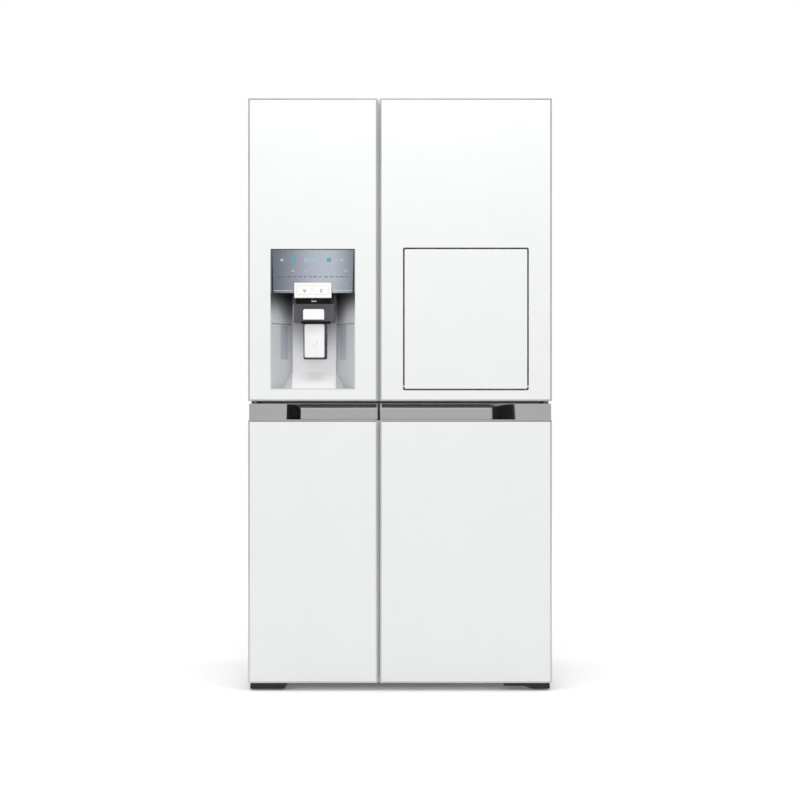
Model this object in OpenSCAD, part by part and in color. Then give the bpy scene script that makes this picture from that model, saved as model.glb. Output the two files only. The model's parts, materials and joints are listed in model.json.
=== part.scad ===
// Side by side refrigerator with four doors, an ice and water dispenser and a home bar.
// Origin: centre of the footprint on the floor. +X is right, +Y is the back, +Z is up.

/* [Overall] */
// Width over the doors
body_w = 912; // [850:1:1095]
// Depth from the door fronts to the rear cover
body_d = 734; // [700:1:881]
// Height to the top of the doors
body_h = 1780; // [1700:1:2136]

/* [Doors] */
// Width of the two left doors
left_door_w = 388; // [350:1:430]
// Gap between the left and the right doors
center_gap = 8; // [6:1:12]
// Gap between the upper and the lower doors
door_gap = 8; // [7:1:12]
// Top edge of the lower doors above the floor
lower_top = 863; // [720:1:1000]
// Bottom edge of the lower doors above the floor
door_floor = 24; // [24:1:40]
// Thickness of a door without its gasket
door_t = 70; // [66:1:84]
// Thickness of the front panels
panel_t = 4; // [3:0.5:5]
// Width of the trim line around each panel
trim_w = 4.5; // [3:0.5:6]
// Thickness of the closed gasket
gasket_t = 12; // [10:0.5:16]
// Distance of the hinge pins from the outer edge of the doors
hinge_inset = 18; // [16:1:22]
// Radius of the hinge pins
hinge_pin_r = 5; // [4:0.5:6]
// Depth of the door bins
bin_depth = 100; // [70:1:104]
// Height of the door bins
bin_h = 66; // [50:1:72]

/* [Grip rails] */
// Height of the metal rail along the top of the lower doors
rail_h = 49; // [40:1:60]
// Depth of the rail from the door front
rail_d = 34; // [28:1:36]
// Length of the closed end of the left rail
left_rail_end = 112; // [80:1:140]
// Length of the closed end of the right rail
right_rail_end = 96; // [60:1:140]
// Length of the curved ramp in the left rail
left_ramp = 48; // [30:1:100]
// Length of the curved ramp in the right rail
right_ramp = 96; // [30:1:140]

/* [Cabinet] */
// Thickness of the insulated side walls
wall_side = 52; // [40:1:65]
// Thickness of the insulated top and back walls
wall_top = 50; // [40:1:65]
// Thickness of the wall between the compartments
wall_center = 60; // [50:1:70]
// Floor of the compartments above the floor
cavity_floor = 100; // [90:1:120]
// Thickness of the plastic liners
liner_t = 2; // [1.5:0.5:3]
// Thickness of the steel sheets
sheet_t = 1; // [0.8:0.1:1.5]
// Radius of the rear rollers
roller_r = 22; // [18:1:22]

/* [Dispenser] */
// Width of the opening in the panel
disp_w = 254; // [230:1:280]
// Height of the opening in the panel
disp_h = 422; // [380:1:450]
// Depth of the recess
disp_depth = 100; // [90:1:105]
// Height of the display
display_h = 129; // [110:1:140]
// Width of the button box
button_box_w = 111; // [96:1:130]
// Travel of the buttons
button_travel = 1.5; // [1:0.25:2]
// Width of the paddle
paddle_w = 72; // [55:1:86]
// Height of the paddle
paddle_h = 110; // [80:1:125]

/* [Home bar] */
// Width of the opening in the panel
bar_w = 378; // [320:1:390]
// Height of the opening in the panel
bar_h = 429; // [350:1:440]
// Gap around the home bar door
bar_gap = 5; // [3:0.5:6]
// Thickness of the home bar door
bar_t = 45; // [38:1:46]

/* [Hidden] */
$fn = 48;
eps = 0.01;
fit = 0.05;                        // radial clearance of a pin in its bore
slack = 0.3;                       // clearance of a part in its pocket

// Main planes
front = -body_d / 2;
door_back = front + door_t;
cab_front = door_back + gasket_t;
rear_cover_t = 14;
cab_back = body_d / 2 - rear_cover_t;
side_inset = 4;                    // the cabinet is this much narrower on each side than the doors
cab_x = body_w / 2 - side_inset;
cab_top = body_h - 30;
cab_floor = 41;

// Door rectangles: name, x0, x1, z0, z1, side of the hinge
left_x0 = -body_w / 2;
left_x1 = left_x0 + left_door_w;
right_x0 = left_x1 + center_gap;
right_x1 = body_w / 2;
upper_z0 = lower_top + door_gap;
upper_left = ["upper_left", left_x0, left_x1, upper_z0, body_h, -1];
upper_right = ["upper_right", right_x0, right_x1, upper_z0, body_h, 1];
lower_left = ["lower_left", left_x0, left_x1, door_floor, lower_top, -1];
lower_right = ["lower_right", right_x0, right_x1, door_floor, lower_top, 1];
DOORS = [upper_left, upper_right, lower_left, lower_right];

function is_upper(d) = d[4] == body_h;
function is_left(d) = d[5] < 0;

// Hinge axes
hinge_back = 22;                   // the axis lies this far in front of the door's back
hinge_y = door_back - hinge_back;
function hinge_x(d) = is_left(d) ? d[1] + hinge_inset : d[2] - hinge_inset;
pin_len = 24;
boss_r = hinge_pin_r + 6;

// Compartments and their mouths
center_x = left_x1 + center_gap / 2;
freezer_x0 = -cab_x + wall_side;
freezer_x1 = center_x - wall_center / 2;
fridge_x0 = center_x + wall_center / 2;
fridge_x1 = cab_x - wall_side;
cavity_top = cab_top - wall_top;
cavity_back = cab_back - 60;
rail_t = 1.5;
cavity_front = cab_front + rail_t;
crossbar_z0 = lower_top - 25;
crossbar_z1 = upper_z0 + 29;
crossbar_d = 58;
function mouth_x0(d) = is_left(d) ? freezer_x0 : fridge_x0;
function mouth_x1(d) = is_left(d) ? freezer_x1 : fridge_x1;
function mouth_z0(d) = is_upper(d) ? crossbar_z1 : cavity_floor;
function mouth_z1(d) = is_upper(d) ? cavity_top : crossbar_z0;

// Gasket and the raised rim of the door liners
gasket_in = 6;
gasket_w = 16;
rim_gap = 12;
rim_w = 14;
rim_d = 42;
pan_t = 5;
skin_t = 2;
bin_gap = 0.3;
bin_inset = rim_gap + rim_w + bin_gap;
bin_back = door_back + pan_t;
bin_front = bin_back + bin_depth;
wall_bin = 3;

// Grip rails
rail_z0 = lower_top - rail_h;
rail_lip = 1.2;
rail_hook = 16;                    // the finger hook reaches this far below the rail's lower edge

// Dispenser, centred on the upper left door
disp_x = (left_x0 + left_x1) / 2;
disp_z0 = upper_z0 + 35;
disp_z1 = disp_z0 + disp_h;
disp_wall = 2.5;
disp_back = front + disp_depth;
disp_back_w = 136;
disp_slope_d = 42;                 // the floor starts to rise this far before the back wall
disp_slope_h = 52;
grille_pitch = 11;
grille_slot_w = 4;
grille_slot_d = 4;
display_z0 = disp_z1 - display_h - disp_wall;
box_z0 = display_z0 - 15;
box_z1 = display_z0 + 30;
button_box_d = 40;
chute_x = disp_x + 2;
chute_w = 125;
chute_z0 = box_z0 - 70;
chute_z1 = chute_z0 + 52;
chute_front = front + 22;
duct_w = 52;
duct_depth = 32;
duct_y1 = disp_back - 2;
duct_y0 = duct_y1 - duct_depth;
duct_flare_h = 26;                 // the duct's mouth widens over this height
duct_mouth_y = bin_back + 42;
bulge_back = disp_back + disp_wall + 32;
bulge_z1 = disp_z1 + 82;
paddle_x = disp_x + 6;
paddle_y = front + 45;
paddle_z = chute_z0 + 7;
flap_y = duct_y1 - 3;
flap_z = chute_z0 + 6;

// Home bar, centred on the upper right door
bar_x = (right_x0 + right_x1) / 2;
bar_z0 = upper_z0 + 32;
bar_z1 = bar_z0 + bar_h;
bar_seat = front + bar_t + 4;
bar_seat_w = 22;
bar_axis = 7;                      // the axis lies this far inside the bar door's front and bottom
bar_pin_r = 2.5;

// Shelves and drawers
shelf_front = bin_front + 17;
shelf_t = 5;
drawer_front = door_back + 137;
drawer_depth = 240;
drawer_h = 180;
drawer_z = cavity_floor + 4;
drawer_inset = 36;

// Machine compartment behind and below the compartments
machine_front = cavity_back - 78;
machine_top = 240;
step_z = machine_top + 60;
step_front = cavity_back - 182;

// Ice system
ice_z0 = bulge_z1 + 5;
ice_h = 140;
ice_x0 = freezer_x0 + 20;
ice_x1 = freezer_x1 - 20;
ice_y0 = bin_front + 22;
ice_y1 = ice_y0 + 360;
nose_w = 60;
nose_h = 85;
auger_z = ice_z0 + 32;

// Feet and rollers
foot_x = body_w / 2 - 56;
foot_y = cab_front + 45;
roller_y = cab_back - 52;

// ---------- Shared shapes ----------

// A block between two opposite corners
module block(low, high) {
    translate(low)
        cube(high - low);
}

// A flat shape given in (x, z), as a plate between two depths
module extrude_y(y0, y1) {
    translate([0, y1, 0])
        rotate([90, 0, 0])
            linear_extrude(y1 - y0)
                children();
}

// A side profile given in (y, z), as a bar between two x positions
module extrude_x(x0, x1) {
    translate([x0, 0, 0])
        rotate([90, 0, 90])
            linear_extrude(x1 - x0)
                children();
}

// A rectangle between two corners with round corners
module round_rect(x0, z0, x1, z1, r) {
    translate([x0 + r, z0])
        square([x1 - x0 - 2 * r, z1 - z0]);
    translate([x0, z0 + r])
        square([x1 - x0, z1 - z0 - 2 * r]);
    for (x = [x0 + r, x1 - r])
        for (z = [z0 + r, z1 - r])
            translate([x, z])
                circle(r);
}

// A rectangle between two corners
module rect(x0, z0, x1, z1) {
    translate([x0, z0])
        square([x1 - x0, z1 - z0]);
}

// A rectangular ring, t wide, inside the given rectangle
module ring(x0, z0, x1, z1, t) {
    difference() {
        rect(x0, z0, x1, z1);
        rect(x0 + t, z0 + t, x1 - t, z1 - t);
    }
}

// A cylinder along X that starts at x
module rod_x(x, y, z, r, len) {
    translate([x, y, z])
        rotate([0, 90, 0])
            cylinder(r = r, h = len);
}

// A cylinder along Y that starts at y
module rod_y(x, y, z, r, len) {
    translate([x, y, z])
        rotate([-90, 0, 0])
            cylinder(r = r, h = len);
}

// A fan about the Z axis: hub with a blind bore from below, and pitched blades in a swept circle
module fan(r, hub_r, h, bore_r) {
    difference() {
        union() {
            cylinder(r = hub_r, h = h);
            intersection() {
                translate([0, 0, eps])
                    cylinder(r = r, h = h - 2 * eps);
                for (i = [0:4])
                    rotate([0, 0, i * 72])
                        translate([hub_r - 2, -r * 0.3, h / 2])
                            rotate([28, 0, 0])
                                translate([0, 0, -1])
                                    cube([r, r * 0.6, 2]);
            }
        }
        translate([0, 0, -1])
            cylinder(r = bore_r, h = h - 3);
    }
}

// ---------- Cabinet ----------

// Painted sheet over the top and both sides, with a bent lip along the bottom
module outer_shell() {
    color("gainsboro")
        difference() {
            block([-cab_x, cab_front + rail_t, cab_floor - 3], [cab_x, cab_back - sheet_t, cab_top]);
            block([-cab_x + sheet_t, cab_front, 0], [cab_x - sheet_t, cab_back, cab_top - sheet_t]);
        }
}

// Flat sheet that closes the back above the machine compartment
module back_panel() {
    color("silver")
        block([-cab_x, cab_back - sheet_t, machine_top + 10], [cab_x, cab_back, cab_top]);
}

roller_ear = 4;
roller_w = 20;
roller_gap = 1;
axle_r = 4;

// Bottom deck with its front and side rails, and the ears of the rear rollers
module base_frame() {
    deck_x = cab_x - sheet_t;
    color("dimgray")
        difference() {
            union() {
                block([-deck_x, cab_front + rail_t, cab_floor - 3], [deck_x, cab_back, cab_floor]);
                block([-deck_x, cab_front + rail_t, cab_floor - 11], [deck_x, cab_front + 30, cab_floor - 3]);
                for (side = [-1, 1])
                    translate([side * (foot_x), foot_y, cab_floor - 15])
                        cylinder(r = 14, h = 13);
                for (side = [-1, 1])
                    for (ear = [-1, 1])
                        translate([side * foot_x + ear * (roller_w / 2 + roller_gap + roller_ear / 2), roller_y, 0])
                            block([-roller_ear / 2, -16, roller_r - 10], [roller_ear / 2, 16, cab_floor - 3]);
            }
            for (side = [-1, 1]) {
                translate([side * foot_x, foot_y, 0])
                    cylinder(r = foot_stem_r, h = cab_floor + 1);
                rod_x(side * foot_x - 20, roller_y, roller_r, axle_r + fit, 40);
                block([side * foot_x - roller_w / 2 - roller_gap, roller_y - roller_r - 1, cab_floor - 4],
                    [side * foot_x + roller_w / 2 + roller_gap, roller_y + roller_r + 1, cab_floor + 1]);
            }
        }
}

// The (y, z) outline of a compartment, grown by g on every side but the front
module cavity_outline(g) {
    polygon([
        [cavity_front, cavity_floor - g],
        [step_front + g * 0.3, cavity_floor - g],
        [step_front + 70 + g * 0.3, step_z - g],
        [cavity_back + g, step_z - g],
        [cavity_back + g, cavity_top + g],
        [cavity_front, cavity_top + g]]);
}

// The (y, z) outline of the machine compartment
module machine_outline() {
    polygon([
        [machine_front - 50, cab_floor - 1],
        [cab_back + 1, cab_floor - 1],
        [cab_back + 1, machine_top],
        [machine_front, machine_top]]);
}

// Polyurethane foam between the sheets and the liners
module cabinet_foam() {
    foam_x = cab_x - sheet_t;
    color("khaki")
        difference() {
            block([-foam_x, cab_front + rail_t, cab_floor], [foam_x, cab_back - sheet_t, cab_top - sheet_t]);
            extrude_x(freezer_x0 - liner_t, freezer_x1 + liner_t) cavity_outline(liner_t);
            extrude_x(fridge_x0 - liner_t, fridge_x1 + liner_t) cavity_outline(liner_t);
            extrude_x(-cab_x, cab_x) machine_outline();
        }
}

// One moulded liner with runners for its drawer
module liner(x0, x1) {
    difference() {
        extrude_x(x0 - liner_t, x1 + liner_t) cavity_outline(liner_t);
        extrude_x(x0, x1)
            cavity_outline(0);
        block([x0, cavity_front - 1, cavity_floor], [x1, cavity_front + 1, cavity_top]);
    }
    for (x = [x0 + drawer_inset + 10, x1 - drawer_inset - 20])
        block([x, drawer_front, cavity_floor - eps], [x + 10, drawer_front + drawer_depth - 20, drawer_z - slack]);
}

// The freezer liner and the fresh-food liner
module cabinet_liners() {
    color("whitesmoke") {
        liner(freezer_x0, freezer_x1);
        liner(fridge_x0, fridge_x1);
    }
}

// Steel front frame that the gaskets close on, with the two insulated crossbars
module front_rails() {
    color("lightgray") {
        extrude_y(cab_front, cavity_front)
            difference() {
                rect(-cab_x, cab_floor - 11, cab_x, cab_top);
                for (d = DOORS)
                    rect(mouth_x0(d), mouth_z0(d), mouth_x1(d), mouth_z1(d));
            }
        for (d = [upper_left, upper_right])
            block([mouth_x0(d), cavity_front - eps, crossbar_z0],
                [mouth_x1(d), cavity_front + crossbar_d, crossbar_z1]);
    }
}

// ---------- Hinges, covers, feet and rollers ----------

hinge_arm_w = 28;
hinge_plate = 4;
arm_back = cab_front + 60;

// A flat arm from the cabinet to its hinge pin, drawn from above
module hinge_arm(z0, z1, y1) {
    translate([0, 0, z0])
        linear_extrude(z1 - z0) {
            translate([0, hinge_y])
                circle(hinge_arm_w / 2);
            translate([-hinge_arm_w / 2, hinge_y])
                square([hinge_arm_w, y1 - hinge_y]);
        }
}

// Six brackets: on the cabinet's top, between the doors, and under the lower doors
module door_hinges() {
    mid_z = lower_top + (door_gap - hinge_plate) / 2;
    top_z = cab_top + 4;
    low_z = door_floor - 8;
    color("darkgray")
        for (side = [-1, 1])
            translate([side * (body_w / 2 - hinge_inset), 0, 0]) {
                hinge_arm(top_z, top_z + 5, arm_back);
                block([-hinge_arm_w / 2, cab_front + 4, cab_top], [hinge_arm_w / 2, arm_back, top_z + eps]);
                translate([0, hinge_y, top_z + 4 - pin_len])
                    cylinder(r = hinge_pin_r, h = pin_len);
                hinge_arm(mid_z, mid_z + hinge_plate, cab_front);
                block([-hinge_arm_w / 2, cab_front - 3, mid_z - 12], [hinge_arm_w / 2, cab_front, mid_z + 12 + hinge_plate]);
                translate([0, hinge_y, mid_z + hinge_plate / 2 - pin_len])
                    cylinder(r = hinge_pin_r, h = 2 * pin_len);
                hinge_arm(low_z, low_z + 5, cab_front);
                block([-hinge_arm_w / 2, cab_front - 4, low_z], [hinge_arm_w / 2, cab_front, cab_floor + 10]);
                translate([0, hinge_y, low_z + 1])
                    cylinder(r = hinge_pin_r, h = pin_len);
            }
}

// Plastic caps over the top hinges
module hinge_covers() {
    cover_wall = 2;
    half_w = hinge_arm_w / 2 + 6;
    low = [-half_w, cab_front + 2, cab_top];
    high = [half_w, arm_back + 22, body_h - 4];
    shell = [cover_wall, cover_wall, cover_wall];
    color("lightgray")
        for (side = [-1, 1])
            translate([side * (body_w / 2 - hinge_inset - 4), 0, 0])
                difference() {
                    block(low, high);
                    block([low.x + cover_wall, low.y + cover_wall, low.z - 1], high - shell);
                    block([-half_w + 1.5, low.y - 1, low.z - 1], [half_w - 1.5, low.y + 3, low.z + 12]);
                }
}

leg_cover_h = 18;

// Dark plastic covers in front of the two front feet: a wedge on the left, a stepped bar on the right
module leg_covers() {
    z1 = door_floor - 1.5;
    z0 = z1 - leg_cover_h;
    y0 = front + 12;
    outer = body_w / 2 - 5;
    left_w = 114;
    right_w = 138;
    thin_h = 9;
    step_at = 82;
    step_len = 34;
    steps = 8;
    left_outline = [[outer, z0], [outer, z1], [outer - left_w, z1], [outer - left_w + 12, z0]];
    right_outline = concat(
        [[outer, z0], [outer, z1], [outer - right_w, z1], [outer - right_w, z1 - thin_h]],
        [for (i = [0 : steps])
            [outer - step_at + step_len * i / steps, z1 - thin_h - (leg_cover_h - thin_h) * (1 - cos(180 * i / steps)) / 2]]);
    color([0.08, 0.09, 0.13])
        for (side = [-1, 1])
            on_side(side)
                difference() {
                    extrude_y(y0, cab_front - 4 - slack)
                        polygon(side < 0 ? left_outline : right_outline);
                    translate([body_w / 2 - hinge_inset, 0, 0])
                        hinge_arm(door_floor - 8 - slack, z1 + 1, cab_front + 1);
                    block([body_w / 2 - hinge_inset - hinge_arm_w / 2 - 1, hinge_y, door_floor - 8 - slack],
                        [body_w / 2, cab_front, z1 + 1]);
                    translate([body_w / 2 - hinge_inset, hinge_y, door_floor - 8 - slack])
                        cylinder(r = hinge_arm_w / 2 + 1, h = leg_cover_h);
                }
}

// The same shape on the right (1) or mirrored to the left (-1)
module on_side(side) {
    if (side > 0)
        children();
    else
        mirror([1, 0, 0])
            children();
}

foot_stem_r = 5;

// Two screw feet under the front corners
module leveling_feet() {
    color("dimgray")
        for (side = [-1, 1])
            translate([side * foot_x, foot_y, 0]) {
                cylinder(r = 19, h = 6);
                translate([0, 0, 5])
                    cylinder(r = 11, h = 8, $fn = 6);
                cylinder(r = foot_stem_r, h = cab_floor - 2);
            }
}

// A rear roller on its own axle pin
module roller(side) {
    color([0.15, 0.15, 0.16]) {
        rod_x(side * foot_x - roller_w / 2, roller_y, roller_r, roller_r, roller_w);
        rod_x(side * foot_x - roller_w / 2 - roller_ear - 2, roller_y, roller_r, axle_r, roller_w + 2 * roller_ear + 4);
    }
}

module roller_left() {
    roller(-1);
}

module roller_right() {
    roller(1);
}

// ---------- Machine compartment ----------

comp_x = cab_x - 182;
comp_r = 58;
comp_y = (machine_front + cab_back) / 2 + 4;

// Hermetic compressor: a domed shell on a foot plate, with its terminal cover
module compressor() {
    shell_h = 120;
    color([0.1, 0.1, 0.11])
        translate([comp_x, comp_y, cab_floor]) {
            rotate_extrude()
                polygon([[0, 8], [comp_r - 8, 8], [comp_r, 18], [comp_r, shell_h - 26], [comp_r - 8, shell_h - 10],
                    [comp_r - 26, shell_h], [0, shell_h]]);
            block([-comp_r - 14, -34, 3], [comp_r + 14, 34, 9]);
            for (x = [-1, 1])
                for (y = [-1, 1])
                    translate([x * (comp_r + 4), y * 24, 0])
                        cylinder(r = 9, h = 14);
            block([comp_r - 6, -20, 40], [comp_r + 20, 20, 82]);
        }
}

coil_x0 = -cab_x + 32;
coil_x1 = coil_x0 + 200;
fan_x = coil_x1 + 70;
fan_r = 54;
fan_z = cab_floor + 82;
fan_y = (machine_front + cab_back) / 2 + 2;
fan_h = 22;
shaft_r = 4;

// Condenser coil: finned tubes in two end plates, with the fan's motor on its bracket
module condenser() {
    tube_r = 3;
    coil_y = [machine_front + 24 : 24 : cab_back - 20];
    coil_z = [cab_floor + 30 : 26 : machine_top - 24];
    color([0.16, 0.16, 0.17]) {
        for (x = [coil_x0, coil_x1])
            block([x, machine_front + 10, cab_floor], [x + 2, cab_back - 8, machine_top - 8]);
        for (x = [coil_x0 + 14 : 12 : coil_x1 - 8])
            block([x, machine_front + 12, cab_floor + 14], [x + 0.6, cab_back - 10, machine_top - 12]);
        for (y = coil_y)
            for (z = coil_z)
                rod_x(coil_x0 - 6, y, z, tube_r, coil_x1 - coil_x0 + 14);
        block([coil_x1 + 1, fan_y - 9, cab_floor], [coil_x1 + 4, fan_y + 9, fan_z + 9]);
        rod_x(coil_x1 + 3, fan_y, fan_z, 20, 34);
        rod_x(coil_x1 + 30, fan_y, fan_z, shaft_r, fan_x - coil_x1 - 30 + fan_h - 8);
    }
}

// Condenser fan on its motor shaft
module condenser_fan() {
    color([0.2, 0.2, 0.22])
        translate([fan_x, fan_y, fan_z])
            rotate([0, 90, 0])
                fan(fan_r, 14, fan_h, shaft_r + fit);
}

// Shallow tray that takes the defrost water
module drain_pan() {
    pan_x0 = fan_x + 60;
    pan_x1 = comp_x - comp_r - 42;
    pan_h = 40;
    pan_wall = 2;
    y0 = machine_front + 14;
    y1 = cab_back - 16;
    color([0.12, 0.12, 0.13])
        difference() {
            block([pan_x0, y0, cab_floor], [pan_x1, y1, cab_floor + pan_h]);
            block([pan_x0 + pan_wall, y0 + pan_wall, cab_floor + pan_wall],
                [pan_x1 - pan_wall, y1 - pan_wall, cab_floor + pan_h + 1]);
        }
}

cord_x = -cab_x + 70;
valve_x = cab_x - 52;
service_z = 150;
cord_r = 4.5;
cover_boss_r = 16;

// Pressed rear cover with air slots, and the cord inlet's boss
module machine_cover() {
    cover_z0 = cab_floor + 4;
    cover_z1 = machine_top + 24;
    tray_x = cab_x - 130;
    slot_w = 5;
    color("silver")
        difference() {
            union() {
                block([-cab_x + 8, cab_back + eps, cover_z0], [cab_x - 8, cab_back + 1.2, cover_z1]);
                block([-tray_x, cab_back + eps, cover_z0 + 16], [tray_x, cab_back + rear_cover_t, cover_z1 - 16]);
                rod_y(cord_x, cab_back + eps, service_z, cover_boss_r, rear_cover_t - eps);
            }
            block([-tray_x + 1.2, cab_back - 1, cover_z0 + 17.2], [tray_x - 1.2, cab_back + rear_cover_t - 1.2, cover_z1 - 17.2]);
            for (x = [-tray_x + 30 : 24 : tray_x - 30])
                block([x, cab_back, cover_z0 + 40], [x + slot_w, cab_back + rear_cover_t + 1, cover_z1 - 60]);
            rod_y(cord_x, cab_back - 1, service_z, cord_r, rear_cover_t + 2);
            rod_y(valve_x, cab_back - 1, service_z, valve_r + 1, rear_cover_t + 2);
        }
}

valve_r = 13;
water_r = 3.2;
water_len = 20;

// Water inlet valve: a solenoid body behind the cover, and its push-fit port
module water_valve() {
    color("white")
        difference() {
            union() {
                block([valve_x - 20, cab_back - 52, service_z - 18], [valve_x + 20, cab_back - 12, service_z + 18]);
                rod_y(valve_x, cab_back - 13, service_z, valve_r, rear_cover_t + 12);
                translate([valve_x - 8, cab_back - 44, service_z + 17])
                    cylinder(r = 12, h = 30);
            }
            rod_y(valve_x, body_d / 2 - 1 - water_len, service_z, water_r, water_len + 1);
        }
}

// ---------- Cooling ----------

duct_front = cavity_back - 55;
evap_z0 = step_z + 60;
evap_z1 = evap_z0 + 400;
evap_fan_z = evap_z1 + 110;
evap_fan_r = 50;

// Finned evaporator coil behind the freezer's air duct
module evaporator() {
    x0 = freezer_x0 + 24;
    x1 = freezer_x1 - 24;
    y0 = duct_front + 8;
    y1 = cavity_back - 6;
    color("lightsteelblue") {
        for (x = [x0 + 12 : 14 : x1 - 12])
            block([x, y0, evap_z0 + 8], [x + 0.8, y1, evap_z1 - 8]);
        for (x = [x0, x1 - 2])
            block([x, y0, evap_z0], [x + 2, cavity_back, evap_z1]);
        for (z = [evap_z0 + 30 : 38 : evap_z1 - 20])
            for (y = [y0 + 12, y1 - 12])
                rod_x(x0 - 6, y, z, 4, x1 - x0 + 12);
    }
}

// Evaporator fan on its motor shaft
module evaporator_fan() {
    color("white")
        translate([(freezer_x0 + freezer_x1) / 2, duct_front + 8, evap_fan_z])
            rotate([90, 0, 0])
                translate([0, 0, -20])
                    fan(evap_fan_r, 14, 20, shaft_r + fit);
}

// Rear air ducts of both compartments, with outlet slots and the fan's motor bracket
module air_ducts() {
    fan_mid = (freezer_x0 + freezer_x1) / 2;
    duct_half = 70;
    fridge_mid = (fridge_x0 + fridge_x1) / 2;
    color("white") {
        difference() {
            block([freezer_x0 + 1, duct_front, step_z + 6], [freezer_x1 - 1, duct_front + 3, cavity_top - 6]);
            rod_y(fan_mid, duct_front - 1, evap_fan_z, evap_fan_r + 3, 5);
            for (z = [evap_fan_z + 130 : 120 : cavity_top - 60])
                block([fan_mid - 60, duct_front - 1, z], [fan_mid + 60, duct_front + 4, z + 12]);
        }
        block([fan_mid - evap_fan_r - 8, duct_front + 40, evap_fan_z - 8],
            [fan_mid + evap_fan_r + 8, duct_front + 43, evap_fan_z + 8]);
        for (side = [-1, 1])
            block([fan_mid + side * (evap_fan_r + 6) - 2, duct_front + 3 - eps, evap_fan_z - 8],
                [fan_mid + side * (evap_fan_r + 6) + 2, duct_front + 43, evap_fan_z + 8]);
        rod_y(fan_mid, duct_front + 32, evap_fan_z, 18, 10);
        rod_y(fan_mid, duct_front + 14, evap_fan_z, shaft_r, 20);
        difference() {
            block([fridge_mid - duct_half, cavity_back - 26, step_z + 200],
                [fridge_mid + duct_half, cavity_back, cavity_top - 20]);
            block([fridge_mid - duct_half + 2, cavity_back - 24, step_z + 202],
                [fridge_mid + duct_half - 2, cavity_back + 1, cavity_top - 22]);
            for (z = [step_z + 280 : 200 : cavity_top - 120])
                block([fridge_mid - 40, cavity_back - 27, z], [fridge_mid + 40, cavity_back - 23, z + 12]);
        }
    }
}

// ---------- Ice system ----------

// Ice maker: a tray of cube moulds with its gear box
module ice_maker() {
    z0 = ice_z0 + ice_h + 16;
    y0 = ice_y0 + 20;
    mould_l = 230;
    cubes = 7;
    pitch = (mould_l - 10) / cubes;
    color("lightgray")
        translate([(freezer_x0 + freezer_x1) / 2, y0, z0]) {
            difference() {
                block([-45, 40, 0], [45, 40 + mould_l, 34]);
                for (i = [0 : cubes - 1])
                    block([-35, 45 + i * pitch + 3, 6], [35, 45 + (i + 1) * pitch, 35]);
            }
            block([-50, 0, -4], [50, 40 + eps, 66]);
            block([45 - eps, 60, 10], [freezer_x1 - (freezer_x0 + freezer_x1) / 2, 66, 40]);
            block([45 - eps, 220, 10], [freezer_x1 - (freezer_x0 + freezer_x1) / 2, 226, 40]);
        }
}

// Ice bin with the nose that overhangs the chute in the door
module ice_bin() {
    wall = 3;
    z1 = ice_z0 + ice_h;
    nose_y0 = bin_back + 4;
    color([0.85, 0.9, 0.95])
        difference() {
            union() {
                block([ice_x0, ice_y0, ice_z0], [ice_x1, ice_y1, z1]);
                block([disp_x - nose_w / 2, nose_y0, ice_z0], [disp_x + nose_w / 2, ice_y0 + 1, ice_z0 + nose_h]);
            }
            block([ice_x0 + wall, ice_y0 + wall, ice_z0 + wall], [ice_x1 - wall, ice_y1 - wall, z1 + 1]);
            block([disp_x - nose_w / 2 + wall, nose_y0 + wall, ice_z0 + wall],
                [disp_x + nose_w / 2 - wall, ice_y0 + 10, ice_z0 + nose_h - wall]);
            block([disp_x - 22, nose_y0 + wall, ice_z0 - 1], [disp_x + 22, nose_y0 + 34, ice_z0 + wall + 1]);
            rod_y(disp_x, ice_y1 - wall - 1, auger_z, shaft_r + fit, wall + 2);
            rod_y(disp_x, nose_y0 - 1, auger_z, shaft_r + fit, wall + 2);
        }
}

// Auger: a shaft with a screw of turned blades, borne at both ends of the ice bin
module ice_auger() {
    y0 = bin_back + 4;
    blades = 14;
    step = (ice_y1 - y0 - 60) / blades;
    color("gray") {
        rod_y(disp_x, y0 - 0.5, auger_z, shaft_r, ice_y1 - y0 + 4.5);
        for (i = [0 : blades])
            translate([disp_x, y0 + 28 + i * step, auger_z])
                rotate([0, i * 40, 0])
                    block([-22, -2, -5], [22, 2, 5]);
    }
}

// ---------- Shelves and drawers ----------

freezer_shelves = [cavity_floor + 330, cavity_floor + 540, upper_z0 + 190, upper_z0 + 360];
fridge_shelves = [cavity_floor + 330, cavity_floor + 540, upper_z0 + 190, upper_z0 + 390, upper_z0 + 590];

// Glass shelves, each with a front edge trim
module glass_shelves() {
    module shelf(x0, x1, z, y1) {
        block([x0, shelf_front + 10, z], [x1, y1, z + shelf_t]);
        block([x0, shelf_front, z - 7], [x1, shelf_front + 10 + eps, z + shelf_t + 3]);
    }
    color([0.75, 0.9, 0.9]) {
        for (z = freezer_shelves)
            shelf(freezer_x0, freezer_x1, z, duct_front - 2);
        for (z = fridge_shelves)
            shelf(fridge_x0, fridge_x1, z, cavity_back - 30);
    }
}

// A drawer: open box with a taller front that has a grip lip
module drawer(x0, x1) {
    wall = 3;
    y1 = drawer_front + drawer_depth;
    difference() {
        block([x0, drawer_front, drawer_z], [x1, y1, drawer_z + drawer_h]);
        block([x0 + wall, drawer_front + 8, drawer_z + wall], [x1 - wall, y1 - wall, drawer_z + drawer_h + 1]);
        block([x0 + 30, drawer_front - 1, drawer_z + drawer_h - 22], [x1 - 30, drawer_front + 9, drawer_z + drawer_h + 1]);
    }
}

module freezer_drawer() {
    color([0.85, 0.9, 0.95])
        drawer(freezer_x0 + drawer_inset, freezer_x1 - drawer_inset);
}

module crisper_drawer() {
    color([0.85, 0.92, 0.88])
        drawer(fridge_x0 + drawer_inset, fridge_x1 - drawer_inset);
}

// ---------- Doors ----------

function panel_top(d) = is_upper(d) ? d[4] : rail_z0;

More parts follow.
